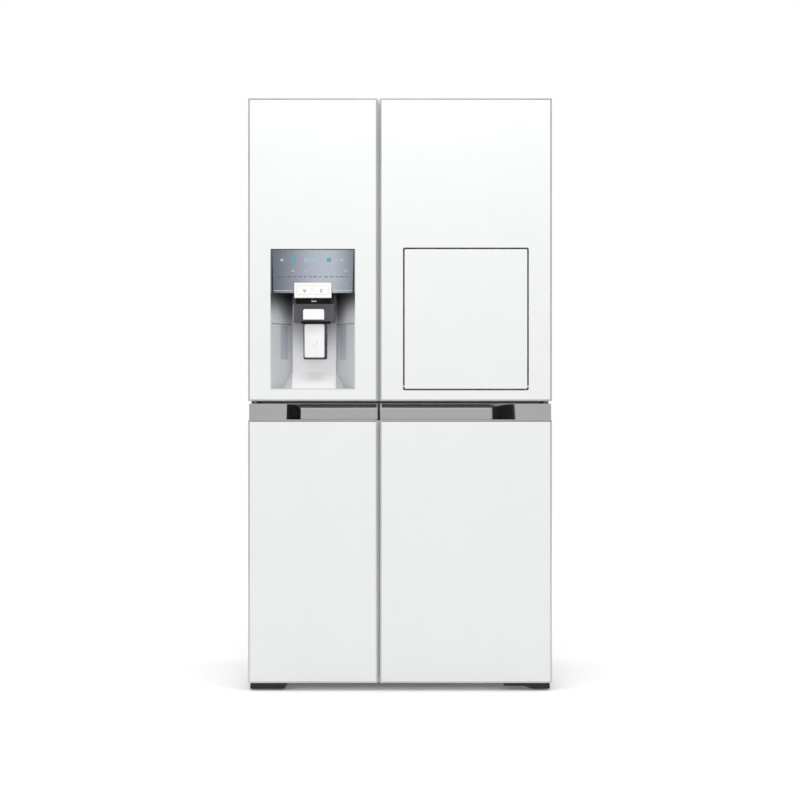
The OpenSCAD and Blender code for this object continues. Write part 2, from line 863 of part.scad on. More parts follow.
// Rectangle of the home bar's opening, grown by g, with the given corner radius
module bar_outline(g, r) {
    round_rect(bar_x - bar_w / 2 - g, bar_z0 - g, bar_x + bar_w / 2 + g, bar_z1 + g, r);
}

// Flat glossy front panel inside its trim line
module door_panel(d) {
    color("white")
        extrude_y(front, front + panel_t)
            difference() {
                rect(d[1] + trim_w, d[3] + trim_w, d[2] - trim_w, panel_top(d) - trim_w);
                if (d == upper_left)
                    rect(disp_x - disp_w / 2, disp_z0, disp_x + disp_w / 2, disp_z1);
                if (d == upper_right)
                    bar_outline(0, 5);
            }
}

// The pocket in an upper door's top that the fixed hinge arm swings in
module hinge_pocket(d) {
    side = d[5];
    inner = hinge_x(d) - side * (hinge_arm_w / 2 + 5);
    outer = hinge_x(d) + side * 60;
    block([min(inner, outer), hinge_y - hinge_arm_w / 2 - 18, cab_top + 2], [max(inner, outer), cab_front, d[4] + 1]);
}

// The plate under that pocket, which joins the top boss to the side profile
module pocket_floor(d) {
    side = d[5];
    inner = hinge_x(d) - side * (hinge_arm_w / 2 + 5);
    outer = hinge_x(d) + side * (hinge_inset - 1);
    block([min(inner, outer), hinge_y - hinge_arm_w / 2 - 18, cab_top - 1],
        [max(inner, outer), door_back - skin_t, cab_top + 2]);
}

// Height of the door's top bore
function bore_top_z(d) = is_upper(d) ? cab_top + 2 : d[4];

// Bosses around the hinge bores, or the bores themselves
module hinge_posts(d, r, over) {
    for (z = [d[3] - over, bore_top_z(d) - pin_len + 2 - over])
        translate([hinge_x(d), hinge_y, z])
            cylinder(r = r, h = pin_len - 2 + 2 * over);
}

// Edge frame of a door: metal side profiles and end caps, with the hinge bosses
module door_frame(d) {
    rail_back = front + rail_d;
    frame_back = door_back - skin_t - eps;
    color("silver")
        difference() {
            union() {
                extrude_y(front + 0.5, is_upper(d) ? frame_back : rail_back + slack)
                    ring(d[1], d[3], d[2], panel_top(d), trim_w);
                if (!is_upper(d))
                    extrude_y(rail_back + slack - eps, frame_back)
                        ring(d[1], d[3], d[2], d[4], trim_w);
                hinge_posts(d, boss_r, 0);
                if (is_upper(d))
                    pocket_floor(d);
            }
            hinge_posts(d, hinge_pin_r + fit, 1);
            if (is_upper(d))
                hinge_pocket(d);
            if (!is_upper(d))
                rail_space(d, slack);
        }
}

// The space of a grip rail with its finger hook, grown by g
module rail_space(d, g) {
    block([d[1] + trim_w - g, front + panel_t + 2, rail_z0 - rail_hook - g],
        [d[2] - 2 + g, front + rail_d + g + eps, rail_z0 + 1]);
}

// Moulded inner liner with its foam core: core, rear skin, raised rim and the shapes behind the fittings
module door_liner(d) {
    x0 = d[1] + trim_w;
    x1 = d[2] - trim_w;
    rim = [mouth_x0(d) + rim_gap, mouth_z0(d) + rim_gap, mouth_x1(d) - rim_gap, mouth_z1(d) - rim_gap];
    color("white")
        difference() {
            union() {
                block([x0, front + panel_t, d[3] + trim_w], [x1, door_back - skin_t, d[4] - trim_w]);
                block([d[1] + 0.5, door_back - skin_t - eps, d[3] + 0.5], [d[2] - 0.5, door_back, d[4] - 0.5]);
                block([rim.x, door_back - eps, rim.y], [rim.z, bin_back, rim[3]]);
                extrude_y(door_back - eps, door_back + rim_d)
                    ring(rim.x, rim.y, rim.z, rim[3], rim_w);
                if (d == upper_left)
                    block([rim.x + rim_w + 4, door_back - eps, rim.y], [rim.z - rim_w - 20, bulge_back, bulge_z1]);
            }
            hinge_posts(d, boss_r, eps);
            if (is_upper(d)) {
                hinge_pocket(d);
                pocket_floor(d);
            }
            if (!is_upper(d)) {
                block([d[1] - 1, front, rail_z0 - trim_w], [d[2] + 1, front + rail_d + slack, d[4] + 1]);
                rail_space(d, slack);
            }
            if (d == upper_left) {
                dispenser_outer(slack);
                ice_duct();
            }
            if (d == upper_right)
                bar_space();
        }
}

// Magnetic gasket around the rear face of a door
module door_gasket(d) {
    x0 = mouth_x0(d) - gasket_in - gasket_w;
    x1 = mouth_x1(d) + gasket_in + gasket_w;
    z0 = mouth_z0(d) - gasket_in - gasket_w;
    z1 = mouth_z1(d) + gasket_in + gasket_w;
    color("gainsboro") {
        extrude_y(door_back, door_back + 4)
            ring(x0 + 3, z0 + 3, x1 - 3, z1 - 3, gasket_w - 6);
        extrude_y(door_back + 4 - eps, cab_front - 0.5)
            ring(x0, z0, x1, z1, gasket_w);
    }
}

// Heights of the bins in each door
function bin_levels(d) =
    d == upper_left ? [bulge_z1 + 92, bulge_z1 + 184]
    : d == upper_right ? [bar_z0 + 40, bar_z0 + 230, bar_z1 + 60, bar_z1 + 210]
    : [lower_top - 390, lower_top - 205];

// Door bins: open trays held between the sides of the raised rim
module door_bins(d) {
    x0 = mouth_x0(d) + bin_inset;
    x1 = mouth_x1(d) - bin_inset;
    color([0.88, 0.93, 0.95])
        for (z = bin_levels(d))
            difference() {
                block([x0, bin_back, z], [x1, bin_front, z + bin_h]);
                block([x0 + wall_bin, bin_back + wall_bin, z + wall_bin], [x1 - wall_bin, bin_front - wall_bin, z + bin_h + 1]);
            }
}

// ---------- Grip rails ----------

// Plan of the finger scoop: full depth towards the middle of the cabinet, with a curved ramp at the closed end
module scoop_plan(d, end_len, ramp, depth) {
    start = is_left(d) ? d[1] + end_len : d[2] - end_len;
    open = is_left(d) ? d[2] + 1 : d[1] - 1;
    dir = is_left(d) ? -1 : 1;
    steps = 12;
    polygon(concat(
        [[open, front - 1], [open, front + depth]],
        [for (i = [0 : steps])
            [start + dir * ramp * i / steps, front + depth * (1 + cos(180 * i / steps)) / 2]],
        [[start + dir * ramp, front - 1]]));
}

// Side profile of the scoop in (y, z): a hollow curve with a hook below its lower lip
module scoop_profile() {
    top = lower_top - rail_lip;
    bottom = rail_z0 + rail_lip;
    depth = rail_d - 5;
    steps = 10;
    polygon(concat(
        [[front - 1, bottom], [front - 1, top]],
        [for (i = [0 : steps])
            [front + depth * sin(90 * i / steps), top - (rail_h - 2 * rail_lip) * 0.35 * (1 - cos(90 * i / steps))]],
        [[front + depth, rail_z0 - rail_hook + 6],
            [front + depth - 3, rail_z0 - rail_hook + 3],
            [front + panel_t + 6, rail_z0 - rail_hook + 3],
            [front + panel_t + 4, rail_z0 - rail_hook + 6],
            [front + panel_t + 4, bottom]]));
}

// Metal grip rail along the top of a lower door
module grip_rail(d, end_len, ramp) {
    x0 = d[1] + trim_w;
    x1 = d[2] - 2;
    color([0.7, 0.7, 0.72])
        difference() {
            union() {
                block([x0, front, rail_z0], [x1, front + rail_d, lower_top]);
                block([x0 + 6, front + panel_t + 2, rail_z0 - rail_hook], [x1 - 6, front + rail_d, rail_z0 + eps]);
            }
            intersection() {
                translate([0, 0, rail_z0 - rail_hook - 1])
                    linear_extrude(rail_h + rail_hook + 2)
                        scoop_plan(d, end_len, ramp, rail_d - 5);
                extrude_x(d[1] - 2, d[2] + 2)
                    scoop_profile();
            }
        }
}

module lower_left_rail() {
    grip_rail(lower_left, left_rail_end + left_ramp, left_ramp);
}

module lower_right_rail() {
    grip_rail(lower_right, right_rail_end + right_ramp, right_ramp);
}

// ---------- Dispenser in the upper left door ----------

// Plan of the recess, grown by g: wide at the front and narrow at the back wall
module recess_plan(g) {
    half = disp_w / 2 - disp_wall;
    back = disp_back_w / 2;
    polygon([
        [disp_x - half - g, front - 1],
        [disp_x + half + g, front - 1],
        [disp_x + half + g, front + 2],
        [disp_x + back + g, disp_back + g],
        [disp_x - back - g, disp_back + g],
        [disp_x - half - g, front + 2]]);
}

// Side profile of the recess in (y, z), grown by g: flat floor in front, rising to the back wall
module recess_side(g) {
    floor_z = disp_z0 + disp_wall;
    ceiling = disp_z1 - disp_wall;
    polygon([
        [front - 1, floor_z - g],
        [disp_back - disp_slope_d, floor_z - g],
        [disp_back + g, floor_z + disp_slope_h - g],
        [disp_back + g, ceiling + g],
        [front - 1, ceiling + g]]);
}

// Solid of the recess, grown by g
module recess(g) {
    intersection() {
        translate([0, 0, disp_z0 - 20])
            linear_extrude(disp_h + 40)
                recess_plan(g);
        extrude_x(disp_x - disp_w, disp_x + disp_w)
            recess_side(g);
    }
}

// Outer shape of the housing, grown by g for the pocket in the foam
module dispenser_outer(g) {
    recess(disp_wall + g);
}

// Duct for ice: a mouth in the top of the bulge, then straight down to the chute
module ice_duct() {
    extrude_x(disp_x - duct_w / 2, disp_x + duct_w / 2)
        polygon([
            [duct_y0, display_z0],
            [duct_y1, display_z0],
            [duct_y1, bulge_z1 - duct_flare_h],
            [duct_mouth_y, bulge_z1 + 1],
            [duct_y0, bulge_z1 + 1]]);
}

// Moulded recess with its drip grille slots in the floor
module dispenser_housing() {
    color("gainsboro")
        difference() {
            intersection() {
                dispenser_outer(0);
                block([disp_x - disp_w, front + 0.2, 0], [disp_x + disp_w, cab_back, body_h]);
            }
            recess(0);
            ice_duct();
            for (i = [-8 : 8])
                block([disp_x + i * grille_pitch - grille_slot_w / 2, front + 12, disp_z0 + 1],
                    [disp_x + i * grille_pitch + grille_slot_w / 2, disp_back - disp_slope_d - 6, disp_z0 + 1 + grille_slot_d]);
        }
}

// Mirror display panel across the top of the recess, leaning back towards its lower edge
module display() {
    color([0.5, 0.54, 0.6])
        difference() {
            intersection() {
                translate([0, 0, disp_z0])
                    linear_extrude(disp_h)
                        recess_plan(-slack);
                extrude_x(disp_x - disp_w, disp_x + disp_w)
                    polygon([
                        [front + 2, disp_z1 - disp_wall - slack],
                        [front + 9, display_z0 + 5],
                        [front + 13, display_z0],
                        [duct_y0 - 6, display_z0],
                        [duct_y0 - 6, disp_z1 - disp_wall - slack]]);
            }
            block([disp_x - button_box_w / 2 - slack, front, box_z0],
                [disp_x + button_box_w / 2 + slack, front + button_box_d + 2, box_z1 + slack]);
        }
}

button_w = 44;
button_h = 26;
button_gap = 6;
button_depth = 8;
button_front = front + 1;
button_corner_r = 4;

// A button's rectangle, grown by g
module button_shape(side, g) {
    x = disp_x + side * (button_w + button_gap) / 2;
    z = (box_z0 + box_z1) / 2;
    round_rect(x - button_w / 2 - g, z - button_h / 2 - g, x + button_w / 2 + g, z + button_h / 2 + g, button_corner_r);
}

// White box that holds the two buttons
module button_box() {
    half = button_box_w / 2;
    color("white")
        difference() {
            block([disp_x - half, front + 1.5, box_z0], [disp_x + half, front + button_box_d + 1, box_z1]);
            for (side = [-1, 1])
                extrude_y(front, button_front + button_depth + button_travel + 1)
                    button_shape(side, slack);
        }
}

// A button in its pocket
module button(side) {
    color([0.92, 0.93, 0.94])
        extrude_y(button_front, button_front + button_depth)
            button_shape(side, 0);
}

module ice_button() {
    button(-1);
}

module water_button() {
    button(1);
}

paddle_pin_r = 3;
paddle_pin_l = 48;
paddle_boss_r = 5;
paddle_arm_w = 30;
flap_pin_r = 2;
flap_pin_l = duct_w + 12;

// Dark chute housing behind the spout, with the duct through it and the bores of the paddle and the flap
module ice_chute() {
    half = chute_w / 2;
    color([0.22, 0.23, 0.25])
        difference() {
            union() {
                intersection() {
                    block([chute_x - half, chute_front, chute_z0], [chute_x + half, disp_back, chute_z1]);
                    translate([0, 0, chute_z0])
                        linear_extrude(chute_z1 - chute_z0)
                            recess_plan(-1);
                }
                block([disp_x - button_box_w / 2 + 2, chute_front + 12, chute_z1 - eps],
                    [disp_x + button_box_w / 2 - 2, duct_y0 - 6, box_z0 - slack]);
                block([disp_x - duct_w / 2 - 3, duct_y0 - 5, chute_z1 - eps], [disp_x + duct_w / 2 + 3, disp_back, display_z0 + 40]);
            }
            block([disp_x - duct_w / 2, duct_y0, chute_z0 - 1], [disp_x + duct_w / 2, duct_y1, display_z0 + eps]);
            ice_duct();
            block([paddle_x - paddle_arm_w / 2 - 1, paddle_y - 9, chute_z0 - 1],
                [paddle_x + paddle_arm_w / 2 + 1, paddle_y + 8, paddle_z + 9]);
            rod_x(paddle_x - paddle_pin_l / 2 - 2, paddle_y, paddle_z, paddle_pin_r + fit, paddle_pin_l + 4);
            rod_x(disp_x - flap_pin_l / 2 - 2, flap_y, flap_z, flap_pin_r + fit, flap_pin_l + 4);
        }
}

spout_w = 63;
spout_h = 31;
spout_d = 13;
spout_wall = 3;

// White spout hood on the front of the chute housing, open below
module spout() {
    half = spout_w / 2;
    z0 = chute_z0 + 5;
    y0 = chute_front - spout_d;
    color("white")
        difference() {
            extrude_y(y0, chute_front)
                union() {
                    round_rect(chute_x - half, z0, chute_x + half, z0 + spout_h, 6);
                    rect(chute_x - half, z0, chute_x + half, z0 + spout_h / 2);
                }
            block([chute_x - half + spout_wall, y0 + spout_wall, z0 - 1],
                [chute_x + half - spout_wall, chute_front - 2, z0 + spout_h - 2 * spout_wall]);
        }
}

// Paddle: a dark plate with a white pad in front, hung from a pin
module paddle() {
    half = paddle_w / 2;
    z1 = chute_z0 - 5;
    color("white") {
        extrude_y(paddle_y - 6, paddle_y)
            round_rect(paddle_x - half, z1 - paddle_h, paddle_x + half, z1, 5);
        extrude_y(paddle_y - 11, paddle_y - 6 + eps)
            round_rect(paddle_x - half + 5, z1 - paddle_h + 6, paddle_x + half - 6, z1 - 4, 4);
        block([paddle_x - paddle_arm_w / 2, paddle_y - 6, z1 - 4], [paddle_x + paddle_arm_w / 2, paddle_y - 1, paddle_z]);
        rod_x(paddle_x - paddle_arm_w / 2, paddle_y, paddle_z, paddle_boss_r, paddle_arm_w);
        rod_x(paddle_x - paddle_pin_l / 2, paddle_y, paddle_z, paddle_pin_r, paddle_pin_l);
    }
}

// Flap that closes the chute's mouth
module ice_flap() {
    half = duct_w / 2 - 1;
    color([0.3, 0.3, 0.32]) {
        block([disp_x - half, duct_y0 + 2, flap_z - 2], [disp_x + half, flap_y, flap_z + 1]);
        rod_x(disp_x - half, flap_y, flap_z, flap_pin_r + 0.5, 2 * half);
        rod_x(disp_x - flap_pin_l / 2, flap_y, flap_z, flap_pin_r, flap_pin_l);
    }
}

// ---------- Home bar in the upper right door ----------

bar_axis_y = front + bar_axis;
bar_axis_z = bar_z0 + bar_gap + bar_axis;

// The space of the home bar through the upper right door, with the bores of its pins
module bar_space() {
    extrude_y(front - 1, bar_seat)
        bar_outline(0, 5);
    extrude_y(front, bin_back + 2)
        bar_outline(-bar_seat_w, 8);
    rod_x(bar_x - bar_w / 2 - 9, bar_axis_y, bar_axis_z, bar_pin_r + fit, bar_w + 18);
}

// White front panel of the home bar door
module bar_panel() {
    color("white")
        extrude_y(front, front + panel_t)
            bar_outline(-bar_gap, 4);
}

// Insulated body of the home bar door with its seal and hinge pins
module bar_liner() {
    color([0.9, 0.9, 0.91]) {
        extrude_y(front + panel_t, front + bar_t)
            bar_outline(-bar_gap - 0.5, 4);
        extrude_y(front + bar_t - eps, bar_seat - 0.5)
            difference() {
                bar_outline(-bar_gap - 8, 4);
                bar_outline(-bar_gap - 16, 4);
            }
        rod_x(bar_x - bar_w / 2 - 8, bar_axis_y, bar_axis_z, bar_pin_r, bar_w + 16);
    }
}

// ---------- Draw ----------

outer_shell();
back_panel();
base_frame();
cabinet_foam();
cabinet_liners();
front_rails();
door_hinges();
hinge_covers();
leg_covers();
leveling_feet();
roller_left();
roller_right();
compressor();
condenser();
condenser_fan();
machine_cover();
drain_pan();
evaporator();
evaporator_fan();
air_ducts();
ice_maker();
ice_bin();
ice_auger();
glass_shelves();
freezer_drawer();
crisper_drawer();
water_valve();
lower_left_rail();
lower_right_rail();
dispenser_housing();
display();
button_box();
ice_button();
water_button();
ice_chute();
spout();
paddle();
ice_flap();
bar_panel();
bar_liner();
for (d = DOORS) {
    door_panel(d);
    door_frame(d);
    door_liner(d);
    door_gasket(d);
    door_bins(d);
}
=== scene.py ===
import json
import math

import bmesh
import bpy
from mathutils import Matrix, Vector

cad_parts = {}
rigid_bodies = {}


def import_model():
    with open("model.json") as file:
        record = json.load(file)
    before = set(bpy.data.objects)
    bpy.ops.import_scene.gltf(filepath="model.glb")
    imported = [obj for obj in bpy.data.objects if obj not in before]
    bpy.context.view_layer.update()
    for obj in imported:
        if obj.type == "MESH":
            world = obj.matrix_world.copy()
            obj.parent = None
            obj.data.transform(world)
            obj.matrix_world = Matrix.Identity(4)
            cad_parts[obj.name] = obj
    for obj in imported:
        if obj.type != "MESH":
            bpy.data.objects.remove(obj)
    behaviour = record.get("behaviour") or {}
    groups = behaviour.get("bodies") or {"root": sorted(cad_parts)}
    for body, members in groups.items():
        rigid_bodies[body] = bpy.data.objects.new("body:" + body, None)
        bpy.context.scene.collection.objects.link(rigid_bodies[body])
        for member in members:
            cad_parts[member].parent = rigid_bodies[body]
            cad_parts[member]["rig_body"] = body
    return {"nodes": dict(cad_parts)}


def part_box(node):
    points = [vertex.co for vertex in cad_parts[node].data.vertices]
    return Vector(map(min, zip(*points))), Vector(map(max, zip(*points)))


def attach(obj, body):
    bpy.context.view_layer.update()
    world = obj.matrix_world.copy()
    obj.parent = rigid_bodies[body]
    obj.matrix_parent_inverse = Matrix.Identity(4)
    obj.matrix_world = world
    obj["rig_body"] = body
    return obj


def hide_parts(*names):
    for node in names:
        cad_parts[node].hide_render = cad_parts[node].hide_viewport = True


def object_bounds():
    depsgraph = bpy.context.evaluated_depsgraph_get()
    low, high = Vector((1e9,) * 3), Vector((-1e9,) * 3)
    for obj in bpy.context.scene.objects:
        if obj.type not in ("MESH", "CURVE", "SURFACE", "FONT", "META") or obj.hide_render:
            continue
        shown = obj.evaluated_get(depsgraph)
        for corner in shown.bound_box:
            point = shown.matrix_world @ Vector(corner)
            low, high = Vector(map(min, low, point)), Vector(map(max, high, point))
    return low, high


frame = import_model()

cad_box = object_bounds()

# ---------------------------------------------------------------- Camera
# A long lens straight in front of the doors, at half of the fridge's height.

front_y = cad_box[0][1]
camera_distance = 5.34
camera_data = bpy.data.cameras.new("front_camera")
camera_data.lens = 80
camera = bpy.data.objects.new("front_camera", camera_data)
camera.location = (0, front_y - camera_distance, 0.874)
camera.rotation_euler = (math.radians(90), 0, 0)
bpy.context.collection.objects.link(camera)
bpy.context.scene.camera = camera
bpy.context.scene.view_settings.view_transform = "Standard"

# ---------------------------------------------------------------- Studio
# A pale floor, a white surround, soft lights from above and in front, and two dark flags beside
# the camera that give the metal and the glass something to mirror.


def hex_colour(code):
    """An sRGB hex value as the linear colour that a shader takes."""
    channels = [int(code[i:i + 2], 16) / 255 for i in (1, 3, 5)]
    linear = [c / 12.92 if c <= 0.04045 else ((c + 0.055) / 1.055) ** 2.4 for c in channels]
    return (*linear, 1.0)


def add_node(tree, kind, settings, sockets):
    """Adds a shader node with its settings, and sets or links its sockets."""
    node = tree.nodes.new("ShaderNode" + kind)
    for name, value in settings.items():
        setattr(node, name, value)
    for name, value in sockets.items():
        if isinstance(value, bpy.types.NodeSocket):
            tree.links.new(value, node.inputs[name])
        else:
            node.inputs[name].default_value = value
    return node


def bare_material(name):
    """An empty node material with its output node."""
    material = bpy.data.materials.new(name)
    material.use_nodes = True
    material.node_tree.nodes.clear()
    output = material.node_tree.nodes.new("ShaderNodeOutputMaterial")
    return material, material.node_tree, output


def finish(name, light, dark, roughness, grain_mm, relief_mm=0.0, metallic=0.0, ior=1.5, coat=0.0,
           stretch=(1, 1, 1), painted_shade=None):
    """A solid finish: two close tones in soft patches, with roughness and relief from a fine grain.
    grain_mm is the size of the grain, and stretch draws it out along an axis. The optional painted shade
    is an axis number (0 to 2), the two places in metres that it deepens between, and its dark colour."""
    material, tree, output = bare_material(name)
    place = add_node(tree, "TexCoord", {}, {}).outputs["Object"]
    drawn = add_node(tree, "Mapping", {}, {"Vector": place, "Scale": stretch}).outputs["Vector"]
    patches = add_node(tree, "TexNoise", {}, {"Vector": drawn, "Scale": 9.0, "Detail": 3.0})
    grain = add_node(tree, "TexNoise", {}, {"Vector": drawn, "Scale": 1000 / grain_mm, "Detail": 2.0})
    mixed = add_node(tree, "Math", {"operation": "MULTIPLY_ADD"},
                     {0: grain.outputs["Fac"], 1: 0.4, 2: patches.outputs["Fac"]})
    share = add_node(tree, "MapRange", {}, {"Value": mixed.outputs[0], "From Min": 0.4, "From Max": 1.0})
    tone = add_node(tree, "Mix", {"data_type": "RGBA"},
                    {"Factor": share.outputs["Result"], 6: hex_colour(light), 7: hex_colour(dark)})
    gloss = add_node(tree, "MapRange", {}, {"Value": grain.outputs["Fac"], "From Min": 0.3, "From Max": 0.7,
                                            "To Min": roughness[0], "To Max": roughness[1]})
    # Painted shade: a darkening along one axis, mixed into the colour in place of shadow.
    if painted_shade:
        axis, begin, end, tint = painted_shade
        spot = add_node(tree, "SeparateXYZ", {}, {"Vector": place})
        shade_share = add_node(tree, "MapRange", {"interpolation_type": "SMOOTHSTEP"}, {
            "Value": spot.outputs[axis], "From Min": begin, "From Max": end})
        tone = add_node(tree, "Mix", {"data_type": "RGBA"}, {
            "Factor": shade_share.outputs["Result"], 6: tone.outputs[2], 7: hex_colour(tint)})
    shader = add_node(tree, "BsdfPrincipled", {}, {
        "Base Color": tone.outputs[2], "Metallic": metallic, "Roughness": gloss.outputs["Result"]})
    if metallic < 1:
        shader.inputs["IOR"].default_value = ior
    shader.inputs["Coat Weight"].default_value = coat
    shader.inputs["Coat Roughness"].default_value = 0.05
    if relief_mm:
        relief = add_node(tree, "Bump", {}, {"Height": grain.outputs["Fac"], "Strength": 0.5,
                                             "Distance": relief_mm / 1000})
        tree.links.new(relief.outputs["Normal"], shader.inputs["Normal"])
    tree.links.new(shader.outputs["BSDF"], output.inputs["Surface"])
    return material


def sheet_between(name, corners, material):
    """A flat four-cornered card."""
    mesh = bpy.data.meshes.new(name)
    mesh.from_pydata(corners, [], [(0, 1, 2, 3)])
    card = bpy.data.objects.new(name, mesh)
    card.data.materials.append(material)
    bpy.context.collection.objects.link(card)
    return card


def faded_floor(name, near, far):
    """White floor paint that thins out between two distances from the middle, so that it has no edge."""
    material, tree, output = bare_material(name)
    place = add_node(tree, "TexCoord", {}, {}).outputs["Object"]
    distance = add_node(tree, "VectorMath", {"operation": "LENGTH"}, {0: place})
    share = add_node(tree, "MapRange", {"interpolation_type": "SMOOTHSTEP"},
                     {"Value": distance.outputs["Value"], "From Min": near, "From Max": far})
    cloud = add_node(tree, "TexNoise", {}, {"Vector": place, "Scale": 3.0})
    tone = add_node(tree, "Mix", {"data_type": "RGBA"}, {
        "Factor": cloud.outputs["Fac"], 6: hex_colour("#fbfbfb"), 7: hex_colour("#f8f8f8")})
    paint = add_node(tree, "BsdfDiffuse", {}, {"Color": tone.outputs[2]})
    glow = add_node(tree, "Emission", {}, {"Strength": 0.12})
    lit = add_node(tree, "AddShader", {}, {0: paint.outputs[0], 1: glow.outputs[0]})
    clear = add_node(tree, "BsdfTransparent", {}, {})
    mixed = add_node(tree, "MixShader", {}, {
        0: share.outputs["Result"], 1: lit.outputs[0], 2: clear.outputs[0]})
    tree.links.new(mixed.outputs[0], output.inputs["Surface"])
    return material


floor_half = 9
floor_paint = faded_floor("white_studio_floor", 2.2, 8.5)
floor_corners = [(x * floor_half, y * floor_half, 0) for x, y in ((-1, -1), (1, -1), (1, 1), (-1, 1))]
floor = sheet_between("studio_floor", floor_corners, floor_paint)

surround = bpy.data.worlds.new("white_surround")
surround.use_nodes = True
surround.node_tree.nodes["Background"].inputs["Color"].default_value = (1, 1, 1, 1)
surround.node_tree.nodes["Background"].inputs["Strength"].default_value = 1.0
bpy.context.scene.world = surround


def soft_light(name, place, aim, width, height, watts):
    """A rectangular soft box that points at a spot."""
    data = bpy.data.lights.new(name, "AREA")
    data.shape = "RECTANGLE"
    data.size = width
    data.size_y = height
    data.energy = watts
    lamp = bpy.data.objects.new(name, data)
    lamp.location = place
    lamp.rotation_euler = (Vector(aim) - Vector(place)).to_track_quat("-Z", "Y").to_euler()
    bpy.context.collection.objects.link(lamp)
    return lamp


soft_light("front_top_box", (0, front_y - 0.9, 2.7), (0, front_y, 1.3), 2.0, 0.4, 12)

flag_cloth = finish("black_flag_cloth", "#050505", "#080808", (0.9, 1.0), 3)
flag_top = 6.0
flag_posts = {"near": ((1.3, -4.4), (3.0, -3.2)), "far": ((3.0, -3.2), (3.6, 0.5))}
for side, side_name in ((-1, "left"), (1, "right")):
    for part, (start, end) in flag_posts.items():
        foot_a = Vector((side * start[0], front_y + start[1], 0.01))
        foot_b = Vector((side * end[0], front_y + end[1], 0.01))
        lift = Vector((0, 0, flag_top))
        corners = [foot_a, foot_b, foot_b + lift, foot_a + lift]
        flag = sheet_between(f"{side_name}_{part}_flag", corners, flag_cloth)
        flag.visible_camera = False
        flag.visible_diffuse = False
        flag.visible_shadow = False

# ---------------------------------------------------------------- Door fronts
# White glass panels, painted on the back and polished on the front, glued into the edge frames.
# The paint gives an even, cool white, and the glass a clear gloss with faint waviness.


def softened(node, width, material, name=None, segments=2):
    """A copy of a CAD solid with its sharp edges rounded, which stands for the node."""
    source = frame["nodes"][node]
    mesh = source.data.copy()
    build = bmesh.new()
    build.from_mesh(mesh)
    bmesh.ops.remove_doubles(build, verts=build.verts, dist=0.00001)
    build.to_mesh(mesh)
    build.free()
    piece = bpy.data.objects.new(name or node + "_finished", mesh)
    bpy.context.collection.objects.link(piece)
    rounding = piece.modifiers.new("rounded_edges", "BEVEL")
    rounding.width = width
    rounding.segments = segments
    rounding.limit_method = "ANGLE"
    rounding.angle_limit = math.radians(35)
    rounding.harden_normals = False
    weighing = piece.modifiers.new("flat_faces_stay_flat", "WEIGHTED_NORMAL")
    weighing.keep_sharp = True
    mesh.polygons.foreach_set("use_smooth", [True] * len(mesh.polygons))
    apply_modifiers(piece)
    piece.data.materials.clear()
    piece.data.materials.append(material)
    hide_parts(node)
    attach(piece, source["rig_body"])
    return piece


def apply_modifiers(piece):
    """Fixes a piece's modifiers into its mesh."""
    graph = bpy.context.evaluated_depsgraph_get()
    final = bpy.data.meshes.new_from_object(piece.evaluated_get(graph))
    piece.modifiers.clear()
    piece.data = final


doors = ("upper_left", "upper_right", "lower_left", "lower_right")
white_glass = finish("back_painted_white_glass", "#e0e1e1", "#dedfdf", (0.10, 0.14), 60, ior=1.52)
for door in doors:
    softened(f"{door}_panel", 0.0006, white_glass)

# ---------------------------------------------------------------- Door edge frames
# Extruded aluminium, bead blasted and anodised to a satin silver, with moulded end caps.

anodised = finish("satin_anodised_aluminium", "#c9cacc", "#b9babd", (0.28, 0.36), 0.6, 0.01, metallic=1.0)
for door in doors:
    softened(f"{door}_frame", 0.0008, anodised)

# ---------------------------------------------------------------- Grip rails
# Stainless profiles with a scooped finger channel, brushed along their length and buffed bright.

brushed = finish("buffed_stainless_steel", "#b0b0b1", "#a4a4a6", (0.12, 0.19), 0.8, 0.004, metallic=1.0,
                 stretch=(0.02, 1, 1))
for side in ("lower_left", "lower_right"):
    softened(f"{side}_rail", 0.0007, brushed)

# ---------------------------------------------------------------- Gaskets
# Extruded magnetic seals of soft grey PVC.

soft_pvc = finish("soft_grey_pvc", "#c3c5c7", "#b4b6b9", (0.5, 0.6), 1.5, 0.02)
for door in doors:
    softened(f"{door}_gasket", 0.002, soft_pvc)

# ---------------------------------------------------------------- Door liners and bins
# Vacuum-formed polystyrene liners in a soft white, and clear moulded bins.

formed_white = finish("formed_white_polystyrene", "#f1f3f4", "#e8eaec", (0.25, 0.35), 3, 0.01)
for door in doors:
    softened(f"{door}_liner", 0.002, formed_white)


def clear_plastic(name, tint, roughness):
    """Clear moulded plastic that passes light with a faint tint."""
    material, tree, output = bare_material(name)
    place = add_node(tree, "TexCoord", {}, {}).outputs["Object"]
    cloud = add_node(tree, "TexNoise", {}, {"Vector": place, "Scale": 40.0, "Detail": 2.0})
    gloss = add_node(tree, "MapRange", {}, {"Value": cloud.outputs["Fac"], "To Min": roughness,
                                            "To Max": roughness + 0.08})
    shader = add_node(tree, "BsdfPrincipled", {}, {
        "Base Color": hex_colour(tint), "Roughness": gloss.outputs["Result"], "IOR": 1.49,
        "Transmission Weight": 0.75, "Alpha": 1.0})
    tree.links.new(shader.outputs["BSDF"], output.inputs["Surface"])
    return material


clear_bin = clear_plastic("clear_moulded_san", "#e9f1f4", 0.06)
for door in doors:
    softened(f"{door}_bins", 0.0015, clear_bin)

# ---------------------------------------------------------------- Home bar
# A drop-down door in the same white glass on an insulated body with a soft seal.

softened("bar_panel", 0.0008, white_glass)
softened("bar_liner", 0.002, formed_white)
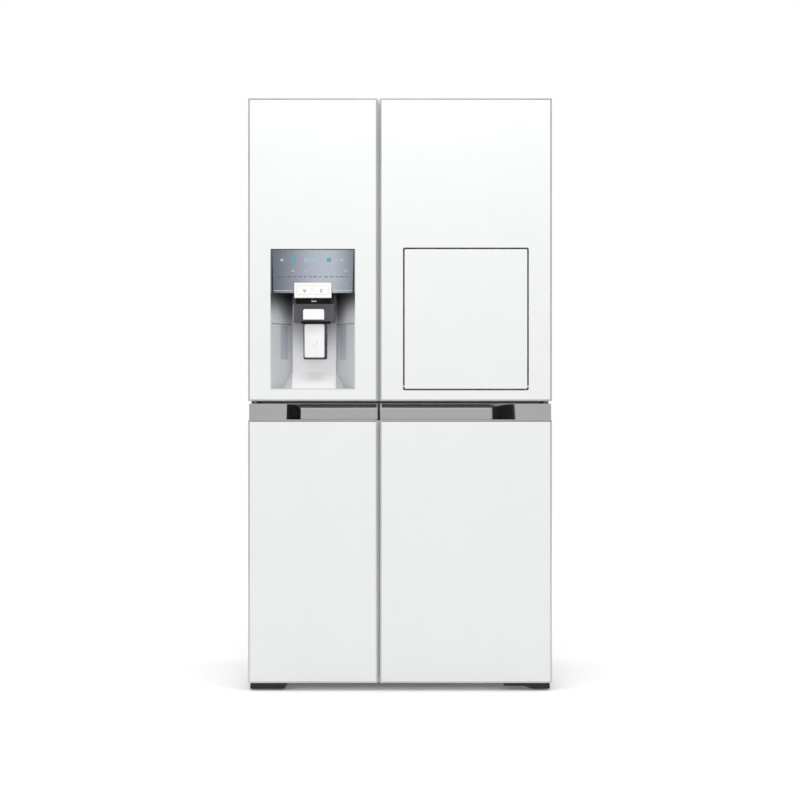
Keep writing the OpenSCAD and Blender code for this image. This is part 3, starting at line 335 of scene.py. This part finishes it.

# ---------------------------------------------------------------- Dispenser recess
# A moulded ABS shell in satin mid grey, with a lighter column on its back wall, a seam across each
# side wall and a smoky light strip below the seam. The shell darkens to near black towards its top, and
# the column greys upwards: painted shade under the display.


def mesh_piece(name, build, body, material, replaced=(), crease=30):
    """Turns a bmesh into a piece that rides on a body."""
    bmesh.ops.recalc_face_normals(build, faces=build.faces)
    mesh = bpy.data.meshes.new(name)
    build.to_mesh(mesh)
    build.free()
    piece = bpy.data.objects.new(name, mesh)
    bpy.context.collection.objects.link(piece)
    mesh.materials.append(material)
    mesh.polygons.foreach_set("use_smooth", [True] * len(mesh.polygons))
    mesh.set_sharp_from_angle(angle=math.radians(crease))
    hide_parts(*replaced)
    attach(piece, body)
    return piece


def round_outline(x0, z0, x1, z1, radii, steps=6):
    """Corner points of a rectangle in (x, z), anticlockwise from the lower left, with its corners rounded."""
    corners = ((x0, z0, 1, 1, 180), (x1, z0, -1, 1, 270), (x1, z1, -1, -1, 0), (x0, z1, 1, -1, 90))
    points = []
    for (x, z, inward_x, inward_z, start), radius in zip(corners, radii):
        for step in range(steps + 1):
            angle = math.radians(start + 90 * step / steps)
            points.append((x + inward_x * radius + radius * math.cos(angle),
                           z + inward_z * radius + radius * math.sin(angle)))
    return points


def plate(build, outline, y_front, y_back, edge):
    """Adds a plate with an (x, z) outline between two depths, with its front edge chamfered."""
    middle = Vector((sum(p[0] for p in outline) / len(outline), sum(p[1] for p in outline) / len(outline)))

    def loop(y, shrink):
        corners = []
        for x, z in outline:
            inward = middle - Vector((x, z))
            pull = Vector((math.copysign(shrink, inward.x), math.copysign(shrink, inward.y)))
            pulled = Vector((x, z)) + pull
            corners.append(build.verts.new((pulled.x, y, pulled.y)))
        return corners

    loops = [loop(y_front, edge), loop(y_front + edge * 0.3, edge * 0.3),
             loop(y_front + edge, 0), loop(y_back, 0)]
    build.faces.new(loops[0])
    build.faces.new(reversed(loops[-1]))
    for near, far in zip(loops, loops[1:]):
        for i in range(len(outline)):
            j = (i + 1) % len(outline)
            build.faces.new((near[i], far[i], far[j], near[j]))


recess_low, recess_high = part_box("dispenser_housing")
# The housing's grey darkens to near black over its top 85 mm: painted shadow under the display.
grey_abs = finish("grey_abs_painted_shade_at_top", "#c8c9cc", "#bfc0c3", (0.28, 0.38), 1.2, 0.01, coat=0.2,
                  painted_shade=(2, recess_low.z + 0.205, recess_low.z + 0.290, "#3c3d41"))
softened("dispenser_housing", 0.0008, grey_abs)

recess_mid = (recess_low.x + recess_high.x) / 2
chute_low, chute_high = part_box("ice_chute")
wall_front = Vector((0.1245, front_y + 0.002))      # from the middle: the front edge of a side wall
wall_back = Vector((0.068, front_y + 0.100))        # and its back corner
# The column's white deepens to grey towards its top: painted shade under the chute and display.
pale_abs = finish("pale_abs_painted_shade_at_top", "#fbfbfb", "#f6f7f7", (0.45, 0.55), 1.2, 0.008,
                  painted_shade=(2, recess_low.z + 0.100, recess_low.z + 0.235, "#b4b5b8"))
column_half = 0.0665
column_profile = [(front_y + 0.0580, recess_low.z + 0.0027), (front_y + 0.0990, recess_low.z + 0.0540),
                  (front_y + 0.0998, chute_low.z - 0.0010)]
column = bmesh.new()
column_rows = []
for y, z in column_profile:
    column_rows.append([column.verts.new((recess_mid + x, y - lift, z)) for x, lift in (
        (-column_half, 0.0), (-column_half, 0.0014), (-column_half + 0.0015, 0.0022),
        (column_half - 0.0015, 0.0022), (column_half, 0.0014), (column_half, 0.0))])
for low_row, high_row in zip(column_rows, column_rows[1:]):
    for i in range(6):
        j = (i + 1) % 6
        column.faces.new((low_row[i], low_row[j], high_row[j], high_row[i]))
column.faces.new(column_rows[0])
column.faces.new(reversed(column_rows[-1]))
mesh_piece("recess_column", column, "upper_left_door", pale_abs)


def wall_strip(build, side, share_0, share_1, z0, z1, proud):
    """Adds a strip on a side wall, between two shares of its depth and two heights."""
    along = wall_back - wall_front
    out = Vector((-along.y, along.x)).normalized() * proud
    corners = []
    for share in (share_0, share_1):
        foot = wall_front + along * share
        for lifted in (foot - out * 0.2, foot + out):
            corners.append((recess_mid + side * lifted.x, lifted.y))
    outer_0, inner_0, outer_1, inner_1 = corners
    rings = []
    for z in (z0, z1):
        rings.append([build.verts.new((x, y, z)) for x, y in (outer_0, outer_1, inner_1, inner_0)])
    build.faces.new(rings[0])
    build.faces.new(reversed(rings[1]))
    for i in range(4):
        j = (i + 1) % 4
        build.faces.new((rings[0][i], rings[1][i], rings[1][j], rings[0][j]))


smoky_strip = finish("smoky_blue_light_guide", "#aeb4be", "#a5abb6", (0.12, 0.2), 2, coat=0.5)
dark_seam = finish("dark_parting_seam", "#6c6d70", "#606164", (0.5, 0.6), 1, 0.01)
strip_z = (recess_low.z + 0.091, recess_low.z + 0.194)
seam_z = recess_low.z + 0.198
strips = bmesh.new()
seams = bmesh.new()
for side in (-1, 1):
    wall_strip(strips, side, 0.44, 0.80, strip_z[0], strip_z[1], -0.0009)
    wall_strip(seams, side, 0.01, 0.99, seam_z - 0.0012, seam_z + 0.0012, -0.0004)
mesh_piece("recess_light_guides", strips, "upper_left_door", smoky_strip)
mesh_piece("recess_seams", seams, "upper_left_door", dark_seam)

# ---------------------------------------------------------------- Display
# Mirror glass that curves back towards its sides and leans back a little, over lamps that light pale
# cyan marks. Its colour runs from dark at the sides to light in the middle: a painted reflection. The
# marks are plain shapes with no lettering.



def mirror_with_painted_reflection(name, stops, left, right):
    """Half-silvered glass with a painted reflection: its colour runs through several tones from left to
    right.
    """
    material, tree, output = bare_material(name)
    place = add_node(tree, "TexCoord", {}, {}).outputs["Object"]
    spot = add_node(tree, "SeparateXYZ", {}, {"Vector": place})
    cloud = add_node(tree, "TexNoise", {}, {"Vector": place, "Scale": 25.0, "Detail": 2.0})
    shift = add_node(tree, "Math", {"operation": "MULTIPLY_ADD"}, {
        0: cloud.outputs["Fac"], 1: 0.02, 2: spot.outputs[0]})
    share = add_node(tree, "MapRange", {}, {"Value": shift.outputs[0], "From Min": left, "From Max": right})
    ramp = add_node(tree, "ValToRGB", {}, {"Fac": share.outputs["Result"]})
    ramp.color_ramp.interpolation = "B_SPLINE"
    for position, colour in stops[1:-1]:
        ramp.color_ramp.elements.new(position)
    for element, (position, colour) in zip(ramp.color_ramp.elements, stops):
        element.position = position
        element.color = hex_colour(colour)
    gloss = add_node(tree, "MapRange", {}, {"Value": cloud.outputs["Fac"], "To Min": 0.2, "To Max": 0.26})
    shader = add_node(tree, "BsdfPrincipled", {}, {
        "Base Color": ramp.outputs["Color"], "Metallic": 0.9, "Roughness": gloss.outputs["Result"]})
    tree.links.new(shader.outputs["BSDF"], output.inputs["Surface"])
    return material


glass_low, glass_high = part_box("display")
box_low, box_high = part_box("button_box")
glass_mid = (glass_low.x + glass_high.x) / 2
glass_half = (glass_high.x - glass_low.x) / 2
glass_lean = 0.007
glass_sag = 0.003
glass_bevel = 0.005
box_gap = 0.0006
# Darker at both sides and lighter in the middle: a painted reflection, not the glass's own tint.
mirror_glass = mirror_with_painted_reflection("mirror_glass_painted_reflection", (
    (0.0, "#757a84"), (0.2, "#848994"), (0.45, "#b4bac6"),
    (0.72, "#c0c6d0"), (0.9, "#8d929c"), (1.0, "#7d828c")),
    glass_low.x, glass_high.x + 0.02)


def glass_y(x, z):
    """How far back the face of the glass is, at a place across and up it."""
    down = (glass_high.z - z) / (glass_high.z - glass_low.z)
    bevel = 0.0045 if z < glass_low.z + glass_bevel / 2 else 0
    return glass_low.y + 0.0004 + glass_lean * down + glass_sag * ((x - glass_mid) / glass_half) ** 2 + bevel


across = [glass_low.x + (glass_high.x - glass_low.x) * i / 32 for i in range(33)]
across = sorted([x for x in across if abs(x - box_low.x) > 0.003 and abs(x - box_high.x) > 0.003]
                + [box_low.x - box_gap, box_high.x + box_gap])
upward = [glass_low.z, glass_low.z + glass_bevel, box_high.z + box_gap]
upward += [upward[2] + (glass_high.z - upward[2]) * i / 5 for i in range(1, 6)]
glass = bmesh.new()
grid = {(i, j): glass.verts.new((x, glass_y(x, z), z))
        for i, x in enumerate(across) for j, z in enumerate(upward)}
for i in range(len(across) - 1):
    for j in range(len(upward) - 1):
        beside_box = box_low.x - 0.001 < (across[i] + across[i + 1]) / 2 < box_high.x + 0.001
        if not (beside_box and j < 2):
            glass.faces.new((grid[i, j], grid[i + 1, j], grid[i + 1, j + 1], grid[i, j + 1]))
for vertex in [v for v in glass.verts if not v.link_faces]:
    glass.verts.remove(vertex)
pushed = bmesh.ops.extrude_face_region(glass, geom=list(glass.faces), use_keep_orig=True)
for vertex in [g for g in pushed["geom"] if isinstance(g, bmesh.types.BMVert)]:
    vertex.co.y = glass_high.y - 0.0005
mesh_piece("display_glass", glass, "upper_left_door", mirror_glass, ("display",), crease=20)


def glowing(name, colour, strength):
    """A lit mark under glass: a flat tone with a faint glow and fine unevenness."""
    material, tree, output = bare_material(name)
    place = add_node(tree, "TexCoord", {}, {}).outputs["Object"]
    cloud = add_node(tree, "TexNoise", {}, {"Vector": place, "Scale": 300.0})
    level = add_node(tree, "MapRange", {}, {
        "Value": cloud.outputs["Fac"], "To Min": strength * 0.7, "To Max": strength * 1.3})
    shader = add_node(tree, "BsdfPrincipled", {}, {
        "Base Color": hex_colour(colour), "Emission Color": hex_colour(colour),
        "Emission Strength": level.outputs["Result"], "Roughness": 0.4})
    tree.links.new(shader.outputs["BSDF"], output.inputs["Surface"])
    return material


def mark(build, outline):
    """Adds a thin mark with an (x, z) outline, just in front of the curved glass."""
    back = [build.verts.new((x, glass_y(x, z) - 0.00002, z)) for x, z in outline]
    lit = [build.verts.new((x, glass_y(x, z) - 0.0002, z)) for x, z in outline]
    build.faces.new(lit)
    build.faces.new(reversed(back))
    for i in range(len(outline)):
        j = (i + 1) % len(outline)
        build.faces.new((lit[i], back[i], back[j], lit[j]))


def mark_row(name, material, z, marks):
    """A row of rounded marks at one height; each has its offset from the middle, width and height in mm."""
    build = bmesh.new()
    for offset, width, height in marks:
        x = glass_mid + offset / 1000
        half_w = width / 2000
        half_h = height / 2000
        radius = min(half_w, half_h) * 0.8
        mark(build, round_outline(x - half_w, z - half_h, x + half_w, z + half_h, (radius,) * 4))
    mesh_piece(name, build, "upper_left_door", material)


cyan = glowing("lit_cyan_mark", "#3d93a4", 0.2)
pale_cyan = glowing("dim_cyan_mark", "#88a9b0", 0.2)
slate = glowing("dark_slate_mark", "#565d69", 0.02)
main_row = glass_high.z - 0.030
small_row = glass_high.z - 0.063
dash_row = glass_high.z - 0.0805
mark_row("display_bright_marks", cyan, main_row, [(-57, 14, 14), (48, 14, 12)])
mark_row("display_dim_marks", pale_cyan, main_row, [
    (-93, 10, 8), (-22, 7, 13), (-12, 7, 13), (2, 8, 10), (13, 6, 10), (87, 9, 9)])
mark_row("display_small_marks", pale_cyan, small_row, [
    (-60, 9, 5), (-21, 6, 5), (21, 8, 6), (54, 7, 6), (99, 7, 5)])
dashes = [(-104, 12), (-90, 10), (-72, 18), (-55, 12), (-38, 14), (-24, 10), (-8, 12),
          (6, 15), (22, 8), (40, 14), (56, 12), (72, 10), (86, 16), (101, 9)]
mark_row("display_dash_row", slate, dash_row, [(offset, width * 0.8, 2.6) for offset, width in dashes])

# A pale line along the glass's lower edge, each side of the button box: a painted highlight where the bevel
# catches light.
painted_edge_highlight = finish("painted_highlight_glass_edge", "#c3c9d1", "#bac0c9", (0.15, 0.2), 1)
edge_z = glass_low.z + 0.0068
edge = bmesh.new()
for x0, x1 in ((glass_low.x + 0.002, box_low.x - 0.002), (box_high.x + 0.002, glass_high.x - 0.002)):
    steps = [x0 + (x1 - x0) * i / 8 for i in range(9)]
    mark(edge, [(x, edge_z - 0.0009) for x in steps] + [(x, edge_z + 0.0009) for x in reversed(steps)])
mesh_piece("display_lower_edge_painted_highlight", edge, "upper_left_door", painted_edge_highlight)

side_bezel = finish("satin_slate_bezel", "#84888f", "#7b7f87", (0.3, 0.4), 1)
bezel = bmesh.new()
bezel_w = 0.0024
for x0 in (recess_low.x, recess_high.x - bezel_w):
    plate(bezel, round_outline(x0, glass_low.z, x0 + bezel_w, glass_high.z + 0.001, (0.0002,) * 4, 2),
          recess_low.y - 0.00015, recess_low.y + 0.0005, 0.0001)
mesh_piece("display_side_bezels", bezel, "upper_left_door", side_bezel)

# ---------------------------------------------------------------- Buttons
# A glossy white box that stands in a notch of the glass, with two push buttons and their grey icons.

white_abs = finish("glossy_white_abs", "#eeeeed", "#e6e6e5", (0.18, 0.26), 2, 0.005)
softened("button_box", 0.0012, white_abs)
icon_grey = finish("printed_grey_ink", "#8a8b8d", "#7c7d80", (0.4, 0.5), 0.5)
for button, body in (("ice_button", "ice_button"), ("water_button", "water_button")):
    softened(button, 0.001, white_abs)
    low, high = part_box(button)
    middle = (low + high) / 2
    icon = bmesh.new()
    if button == "ice_button":
        shapes = [(-2.4, 1.6, 4.0, 3.6), (2.4, 1.6, 4.0, 3.6), (0, -2.8, 4.0, 3.6)]
    else:
        shapes = [(0, 3.4, 7.5, 2.0), (0, 0, 2.2, 5.4), (0, -3.6, 7.5, 2.0)]
    for x, z, width, height in shapes:
        centre_x = middle.x + x / 1000
        centre_z = middle.z - 0.002 + z / 1000
        outline = round_outline(centre_x - width / 2000, centre_z - height / 2000,
                                centre_x + width / 2000, centre_z + height / 2000, (0.0006,) * 4, 2)
        plate(icon, outline, low.y - 0.00015, low.y + 0.0002, 0.00003)
    mesh_piece(f"{button}_icon", icon, body, icon_grey)

# ---------------------------------------------------------------- Chute and spout
# The chute housing is dark grey satin ABS with a white spout hood. Above it, a black plate that carries the
# lamp lens is painted shade for the recess there; below it, a black plate is painted shadow; a pale line
# down its left edge is a painted highlight.

dark_abs = finish("dark_grey_abs", "#4e5054", "#434549", (0.32, 0.42), 1.0, 0.01)
softened("ice_chute", 0.0012, dark_abs, segments=3)
softened("ice_flap", 0.0004, dark_abs)
softened("spout", 0.0018, white_abs, segments=3)
# A pale line down the chute housing's left edge only: a painted highlight.
chute_edge = bmesh.new()
edge_outline = round_outline(chute_low.x + 0.0006, chute_low.z + 0.0006,
                             chute_low.x + 0.0018, chute_low.z + 0.050, (0.0003,) * 4, 2)
plate(chute_edge, edge_outline, chute_low.y - 0.0002, chute_low.y + 0.0004, 0.0001)
mesh_piece("chute_edge_painted_highlight", chute_edge, "upper_left_door",
           finish("painted_highlight_grey", "#a2a4a8", "#999b9f", (0.3, 0.4), 1))
painted_shade_black = finish("black_painted_shade", "#050608", "#08090c", (0.3, 0.4), 2, ior=1.3)
# A black plate over the chute, carrying the lamp lens: painted shade for the dark recess there.
black_plate_painted_recess_shade = bmesh.new()
lamp_y = front_y + 0.0325
plate(black_plate_painted_recess_shade, round_outline(box_low.x + 0.003, box_low.z - 0.0165, box_high.x - 0.003, box_low.z - 0.0012,
                                (0.001,) * 4, 3), lamp_y, lamp_y + 0.0013, 0.0004)
mesh_piece("black_plate_painted_recess_shade", black_plate_painted_recess_shade, "upper_left_door", painted_shade_black)
lamp_lens = bmesh.new()
lamp_x = recess_mid + 0.002
lamp_z = box_low.z - 0.009
lens_outline = round_outline(lamp_x - 0.008, lamp_z - 0.0022, lamp_x + 0.008, lamp_z + 0.0022,
                             (0.0018,) * 4, 4)
plate(lamp_lens, lens_outline, lamp_y - 0.0006, lamp_y + 0.0002, 0.0004)
frosted_lens = glowing("frosted_lamp_lens", "#b9babc", 0.15)
mesh_piece("lamp_lens", lamp_lens, "upper_left_door", frosted_lens)

# A black plate under the chute, in front of the paddle's top: painted shadow in the gap there.
shade = bmesh.new()
plate(shade, round_outline(recess_mid - 0.036, chute_low.z - 0.0075, recess_mid + 0.052, chute_low.z + 0.001,
                           (0.001,) * 4, 3), chute_low.y + 0.0040, chute_low.y + 0.0085, 0.0005)
mesh_piece("painted_shadow_under_chute", shade, "upper_left_door", painted_shade_black)

# ---------------------------------------------------------------- Paddle
# A glossy navy plate with a white pad bonded to its front; a faint cup mark is printed on the pad.

navy = finish("glossy_navy_abs", "#1d2440", "#161c33", (0.08, 0.14), 2, coat=0.5)
softened("paddle", 0.0012, navy, segments=3)
paddle_low, paddle_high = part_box("paddle")
pad_y = paddle_low.y
pad = bmesh.new()
pad_low = Vector((paddle_low.x + 0.0034, paddle_low.z + 0.0062))
pad_high = Vector((paddle_high.x - 0.0085, paddle_low.z + 0.1072))
pad_outline = round_outline(pad_low.x, pad_low.y, pad_high.x, pad_high.y, (0.004,) * 4)
plate(pad, pad_outline, pad_y - 0.0012, pad_y + 0.0046, 0.0010)
mesh_piece("paddle_pad", pad, "paddle", white_abs)
cup = bmesh.new()
cup_x = (pad_low.x + pad_high.x) / 2 + 0.001
cup_z = pad_low.y + 0.036
cup_y = pad_y - 0.0013
for x, z, width, height in ((-4.6, 1, 1.2, 8), (4.6, 1, 1.2, 8), (0, -3.6, 9, 1.2), (6.5, 10, 4.5, 4.5)):
    plate(cup, round_outline(cup_x + (x - width / 2) / 1000, cup_z + (z - height / 2) / 1000,
                             cup_x + (x + width / 2) / 1000, cup_z + (z + height / 2) / 1000,
                             (0.0005,) * 4, 3), cup_y, cup_y + 0.0003, 0.00003)
pale_ink = finish("pale_grey_ink", "#c9cacc", "#c2c3c6", (0.4, 0.5), 0.5)
mesh_piece("paddle_cup_mark", cup, "paddle", pale_ink)

# ---------------------------------------------------------------- Gap seals
# A soft pale grey strip clipped into the inner edge of each left door, which closes most of the gap
# between the doors a little behind their fronts. It clears the right doors by a millimetre.

pale_pvc = finish("pale_grey_pvc", "#e2e3e4", "#d9dadb", (0.5, 0.6), 1.5, 0.01)
strip_depth = 0.012
strip_thickness = 0.005
for door in ("upper_left", "lower_left"):
    low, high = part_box(f"{door}_frame")
    top = high.z if door == "upper_left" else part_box("lower_left_panel")[1].z + 0.004
    seal = bmesh.new()
    plate(seal, round_outline(high.x, low.z + 0.001, high.x + 0.0068, top - 0.001, (0.0005,) * 4, 2),
          low.y + strip_depth, low.y + strip_depth + strip_thickness, 0.0004)
    mesh_piece(f"{door}_gap_seal", seal, f"{door}_door", pale_pvc)

# ---------------------------------------------------------------- Rail seams
# A dark strip along each rail's lower edge, where it meets the glass: painted shadow in the narrow gap there.

gap_shadow_black = finish("black_painted_gap_shadow", "#2b2c2e", "#232426", (0.5, 0.6), 1, 0.01)
seam_height = 0.0024
for side in ("lower_left", "lower_right"):
    low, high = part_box(f"{side}_rail")
    glass_low, glass_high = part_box(f"{side}_panel")
    seam = bmesh.new()
    seam_z = glass_high.z - 0.0006
    seam_outline = round_outline(low.x + 0.001, seam_z, high.x - 0.001, seam_z + seam_height,
                                 (0.0003,) * 4, 2)
    plate(seam, seam_outline, front_y + 0.0001, front_y + 0.002, 0.0002)
    mesh_piece(f"{side}_rail_gap_shadow", seam, f"{side}_door", gap_shadow_black)

# ---------------------------------------------------------------- Top wiring cover
# A low grey ABS cover along the front of the cabinet's top, between the hinge covers. It carries the
# wires to the doors and closes the view over the gap between them.

grey_cap = finish("grey_moulded_abs", "#8e9093", "#838588", (0.4, 0.5), 0.8, 0.02)
cover_low, cover_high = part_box("hinge_covers")
bridge = bmesh.new()
bridge_half = 0.41
bridge_profile = [(cover_low.y + 0.001, 0.0002), (cover_low.y + 0.001, 0.022), (cover_low.y + 0.004, 0.025),
                  (cover_low.y + 0.045, 0.025), (cover_low.y + 0.060, 0.017), (cover_low.y + 0.062, 0.0002)]
ends = [[bridge.verts.new((x, y, cover_low.z + z)) for y, z in bridge_profile]
        for x in (-bridge_half, bridge_half)]
bridge.faces.new(ends[0])
bridge.faces.new(reversed(ends[1]))
for i in range(len(bridge_profile)):
    j = (i + 1) % len(bridge_profile)
    bridge.faces.new((ends[0][i], ends[1][i], ends[1][j], ends[0][j]))
mesh_piece("top_wiring_cover", bridge, "cabinet", grey_cap)

# ---------------------------------------------------------------- Leg covers, feet and rollers
# Moulded black polypropylene leg covers and rollers, and zinc plated steel feet that screw up and
# down. All keep their own shapes, with edges eased as they come from the mould or the lathe.

black_pp = finish("black_moulded_polypropylene", "#17181d", "#0f1014", (0.45, 0.6), 0.8, 0.02)
softened("leg_covers", 0.001, black_pp)
zinc = finish("zinc_plated_steel", "#b9bbbd", "#a3a6a9", (0.3, 0.45), 2, 0.005, metallic=1.0)
softened("leveling_feet", 0.0006, zinc)
for side in ("left", "right"):
    softened(f"roller_{side}", 0.001, black_pp)

# ---------------------------------------------------------------- Cabinet
# Powder coated steel shell and front frame, galvanised back and rear cover, zinc plated hinges
# under moulded caps, and a black enamelled base with the compressor and its coil on it.

shell_paint = finish("silver_grey_powder_coat", "#c7c9cb", "#c3c5c7", (0.38, 0.46), 0.7, 0.03)
for node in ("outer_shell", "front_rails"):
    softened(node, 0.0004, shell_paint)
galvanised = finish("galvanised_steel_sheet", "#a5a9ac", "#9b9fa3", (0.38, 0.48), 8, 0.005, metallic=0.9)
for node in ("back_panel", "machine_cover"):
    softened(node, 0.0003, galvanised)
softened("hinge_covers", 0.002, grey_cap)
softened("door_hinges", 0.0008, zinc)
black_enamel = finish("black_enamelled_steel", "#141416", "#1c1c1f", (0.3, 0.42), 1.2, 0.01)
for node in ("base_frame", "compressor", "condenser"):
    softened(node, 0.0003, black_enamel)

# ---------------------------------------------------------------- Inside
# Foam behind vacuum formed liners, toughened glass shelves, clear drawers and the ice maker's parts.
# All keep their own shapes, with softened edges where the parts are moulded.

foam = finish("polyurethane_foam", "#e2d3a0", "#cdbb84", (0.8, 0.95), 1.5, 0.1)
frame["nodes"]["cabinet_foam"].data.materials.clear()
frame["nodes"]["cabinet_foam"].data.materials.append(foam)
softened("cabinet_liners", 0.0015, formed_white)
softened("air_ducts", 0.001, formed_white)
shelf_glass = clear_plastic("toughened_shelf_glass", "#d9ece8", 0.02)
softened("glass_shelves", 0.0008, shelf_glass)
for node in ("freezer_drawer", "crisper_drawer", "ice_bin"):
    softened(node, 0.0015, clear_bin)
softened("ice_maker", 0.001, grey_cap)
softened("ice_auger", 0.0005, zinc)
softened("evaporator", 0.0002, galvanised)
softened("evaporator_fan", 0.0005, white_abs)
softened("condenser_fan", 0.0005, black_pp)
softened("drain_pan", 0.001, black_pp)
softened("water_valve", 0.001, white_abs)
